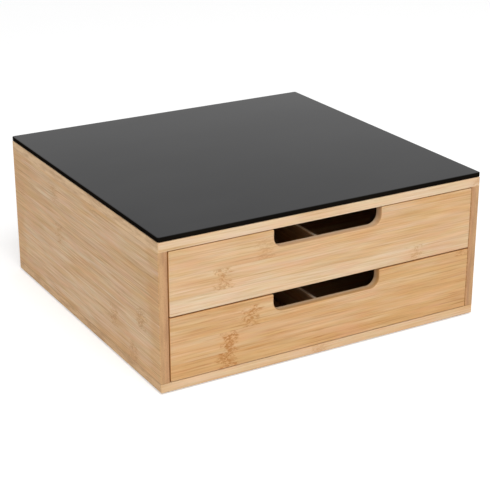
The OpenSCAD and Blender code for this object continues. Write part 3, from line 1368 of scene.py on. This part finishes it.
@dataclass
class GlassTop:
    """The black glass sheet on top, with rounded corners and a softly ground rim."""

    node: str = "glass_top"
    corner_r: float = 2 * MM
    least_r: float = 0.1 * MM
    rim: float = 0.7 * MM
    corner_steps: int = 8
    face_slope: float = 0.6
    face: GlassFinish = GlassFinish(gloss=0.39)
    edge: GlassFinish = GlassFinish(
        body=(0.006, 0.005, 0.004), haze=(0.009, 0.007, 0.005), rough=0.35, gloss=0.0
    )

    def outline(self, drawn_in: float) -> list[Point2]:
        """Gives the outline of the sheet, seen from above.

        Args:
            drawn_in: How far the edge is drawn in.

        Returns:
            The points, counter-clockwise.
        """
        low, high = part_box(self.node)
        r = max(self.corner_r - drawn_in, self.least_r)
        inset = drawn_in + r
        left, right, front, rear = low.x + inset, high.x - inset, low.y + inset, high.y - inset
        points = []
        for quarter, middle in enumerate(((right, rear), (left, rear), (left, front), (right, front))):
            points += arc(middle, r, 90 * quarter, 90 * quarter + 90, self.corner_steps)
        return points

    def build(self) -> bpy.types.Object:
        """Builds the sheet, with one finish for its upper face and one for its rim and underside.

        Returns:
            The sheet.
        """
        low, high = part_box(self.node)
        mesh = EasedSlab(self.outline, low.z, high.z, self.rim).mesh("glass_sheet", upright=False)
        mesh.materials.append(self.face.material("glass_face"))
        mesh.materials.append(self.edge.material("glass_rim"))
        for polygon in mesh.polygons:
            polygon.material_index = 0 if polygon.normal.z > self.face_slope else 1
        return place_piece("glass_sheet", mesh, "carcass", self.node)


@dataclass
class Drawer:
    """One drawer: its front with the finger slot of the CAD, and the boards behind it."""

    body: str
    seed: int
    front: Lamination
    front_finish: BambooFinish
    inner: BambooFinish = INNER_BAMBOO_SHADE_DARKENED
    # The divider uses the darkened inner bamboo, with its narrow edges painted near-white as a painted
    # highlight where light through the slot falls on its top edge.
    divider: BambooFinish = replace(INNER_BAMBOO_SHADE_DARKENED, rims=RimTone(edge=tint(240, 222, 198), share=0.9))
    peg: PegFinish = PegFinish()
    slot_w: float = 104 * MM
    slot_depth: float = 16 * MM
    slot_corner_r: float = 9 * MM
    slot_lip_r: float = 1 * MM
    corner_r: float = 1 * MM
    least_r: float = 0.1 * MM
    rim: float = 0.6 * MM
    corner_steps: int = 4
    lip_steps: int = 6
    bend_steps: int = 12

    def outline(self, drawn_in: float) -> list[Point2]:
        """Gives the outline of the front board, seen from the front.

        Args:
            drawn_in: How far the edge is drawn in.

        Returns:
            The points in X and Z, counter-clockwise.
        """
        low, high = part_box(f"{self.body}_front")
        left, right, foot, top = low.x + drawn_in, high.x - drawn_in, low.z + drawn_in, high.z - drawn_in
        r = max(self.corner_r - drawn_in, self.least_r)
        lip, bend = max(self.slot_lip_r - drawn_in, self.least_r), self.slot_corner_r + drawn_in
        half, floor = self.slot_w / 2 + drawn_in, high.z - self.slot_depth - drawn_in
        points = arc((left + r, foot + r), r, 180, 270, self.corner_steps)
        points += arc((right - r, foot + r), r, 270, 360, self.corner_steps)
        points += arc((right - r, top - r), r, 0, 90, self.corner_steps)
        points += arc((half + lip, top - lip), lip, 90, 180, self.lip_steps)
        points += arc((half - bend, floor + bend), bend, 360, 270, self.bend_steps)
        points += arc((bend - half, floor + bend), bend, 270, 180, self.bend_steps)
        points += arc((-half - lip, top - lip), lip, 0, 90, self.lip_steps)
        points += arc((left + r, top - r), r, 90, 180, self.corner_steps)
        return points

    def build_front(self) -> bpy.types.Object:
        """Builds the front board with its slot and soft rims.

        Returns:
            The front board.
        """
        node = f"{self.body}_front"
        low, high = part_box(node)
        mesh = EasedSlab(self.outline, low.y, high.y, self.rim).mesh(f"{node}_board", upright=True)
        mesh.materials.append(self.front_finish.material(f"bamboo_{node}", self.front, (low, high)))
        return place_piece(f"{node}_board", mesh, self.body, node)

    def dress_inside(self) -> None:
        """Gives the boards and pegs behind the front their finish."""
        for count, (part, lay, finish) in enumerate((
            ("left_wall", GrainLay.DEEP_UPRIGHT, self.inner),
            ("right_wall", GrainLay.DEEP_UPRIGHT, self.inner),
            ("back_wall", GrainLay.ACROSS_UPRIGHT, self.inner),
            ("bottom", GrainLay.ACROSS_FLAT, self.inner),
            ("divider", GrainLay.DEEP_UPRIGHT, self.divider),
        )):
            node = f"{self.body}_{part}"
            dress_board(node, finish, Lamination.by_chance(node, lay, self.seed + count))
        for part in ("front_pins", "rear_pins"):
            node = f"{self.body}_{part}"
            dress_node(node, self.peg.material(f"peg_{node}"))


@dataclass(frozen=True)
class SoftLamp:
    """One large soft lamp of the studio."""

    name: str
    place: Triple
    aim: Triple
    size: float
    watts: float

    def build(self) -> bpy.types.Object:
        """Hangs the lamp and turns it to its aim.

        Returns:
            The lamp.
        """
        light = bpy.data.lights.new(self.name, "AREA")
        light.shape = "SQUARE"
        light.size = self.size
        light.energy = self.watts
        lamp = bpy.data.objects.new(self.name, light)
        lamp.location = self.place
        lamp.rotation_euler = (Vector(self.aim) - Vector(self.place)).to_track_quat("-Z", "Y").to_euler()
        bpy.context.scene.collection.objects.link(lamp)
        return lamp


@dataclass
class Studio:
    """Plain white floor, soft light and the camera."""

    camera_place: Triple = (-0.5845, -1.0220, 0.5143)
    camera_turn_deg: float = -30.11
    camera_tip_deg: float = 21.72
    lens_mm: float = 101.6
    sensor_mm: float = 36.0
    clip: Range = (0.01, 100.0)
    floor_half: float = 20.0
    floor: FloorFinish = FloorFinish()
    sky: Range = (1.0, 0.49)
    sky_height: Range = (0.03, 0.36)
    lamps: tuple[SoftLamp, ...] = (
        SoftLamp("key_lamp", place=(-0.35, -1.75, 2.3), aim=(0.0, 0.0, 0.06), size=1.6, watts=45.0),
    )

    def build_camera(self) -> None:
        """Sets the camera at the photograph's viewing angle."""
        data = bpy.data.cameras.new("camera")
        data.lens = self.lens_mm
        data.sensor_width = self.sensor_mm
        data.clip_start, data.clip_end = self.clip
        camera = bpy.data.objects.new("camera", data)
        camera.location = self.camera_place
        tilt, turn = math.radians(90 - self.camera_tip_deg), math.radians(self.camera_turn_deg)
        camera.rotation_euler = (tilt, 0.0, turn)
        bpy.context.scene.collection.objects.link(camera)
        bpy.context.scene.camera = camera

    def build_floor(self) -> None:
        """Lays the floor under the feet of the box."""
        half = self.floor_half
        corners = [(-half, -half, 0), (half, -half, 0), (half, half, 0), (-half, half, 0)]
        mesh = bpy.data.meshes.new("floor")
        mesh.from_pydata(corners, [], [(0, 1, 2, 3)])
        mesh.materials.append(self.floor.material("floor_white"))
        floor = bpy.data.objects.new("floor", mesh)
        bpy.context.scene.collection.objects.link(floor)

    def build_world(self) -> None:
        """Makes the soft surrounding light, white at the horizon and pale grey above."""
        world = bpy.data.worlds.new("studio")
        world.use_nodes = True
        sheet = NodeSheet(world.node_tree)
        coords = sheet.add("ShaderNodeTexCoord")
        height = sheet.split(coords.outputs["Generated"])[2]
        background = world.node_tree.nodes["Background"]
        background.inputs["Color"].default_value = WHITE
        sheet.feed(background.inputs["Strength"], sheet.span(height, *self.sky_height, *self.sky))
        bpy.context.scene.world = world

    def build(self) -> None:
        """Sets up the whole studio."""
        bpy.context.scene.view_settings.view_transform = "Standard"
        self.build_camera()
        self.build_floor()
        self.build_world()
        for lamp in self.lamps:
            lamp.build()
        LOG.info("studio with %d lamp(s)", len(self.lamps))


def drawers() -> list[Drawer]:
    """Plans the two drawers, with the strips of their fronts as they show in the photograph.

    Returns:
        The upper and the lower drawer.
    """
    upper = Lamination(
        GrainLay.ACROSS_UPRIGHT,
        first_mm=61.0,
        pitch_mm=18.0,
        strips=(
            Strip(0.545, 0.11, 90.0, 0.45),
            Strip(0.52, 0.50, -99.0, 0.60),
            Strip(0.51, 0.58, -59.0, 0.32),
            Strip(0.50, 0.68, 120.0, 0.15),
        ),
    )
    lower = Lamination(
        GrainLay.ACROSS_UPRIGHT,
        first_mm=5.5,
        pitch_mm=18.0,
        strips=(
            Strip(0.47, 0.96, -96.0, 1.0),
            Strip(0.50, 0.82, -93.0, 1.0),
            Strip(0.50, 0.80, -73.0, 0.80),
            Strip(0.49, 0.84, 140.0, 0.60),
        ),
    )
    rim = RimTone(edge=tint(196, 136, 74), share=0.6)
    upper_rim = replace(rim, slot_front=tint(209, 171, 131), slot_back=tint(216, 192, 165))
    lower_rim = replace(rim, slot_front=tint(193, 147, 94), slot_back=tint(213, 189, 158))
    finish = BambooFinish(ends=EndGrain(ply=tint(212, 162, 104)), lean=0.20)
    return [
        Drawer(
            "upper_drawer",
            seed=61,
            front=upper,
            front_finish=replace(finish, rims=upper_rim, contrast=0.8, fibre=0.85),
        ),
        Drawer(
            "lower_drawer",
            seed=81,
            front=lower,
            front_finish=replace(finish, rims=lower_rim, contrast=1.2),
        ),
    ]


def main() -> None:
    """Builds the studio and dresses the object, sub-assembly by sub-assembly."""
    logging.basicConfig(level=logging.INFO, format="%(message)s")
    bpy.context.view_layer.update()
    Studio().build()
    carcass = Carcass()
    carcass.dress_boards()
    carcass.dress_fasteners()
    GlassTop().build()
    for drawer in drawers():
        drawer.build_front()
        drawer.dress_inside()


if __name__ == "__main__":
    main()
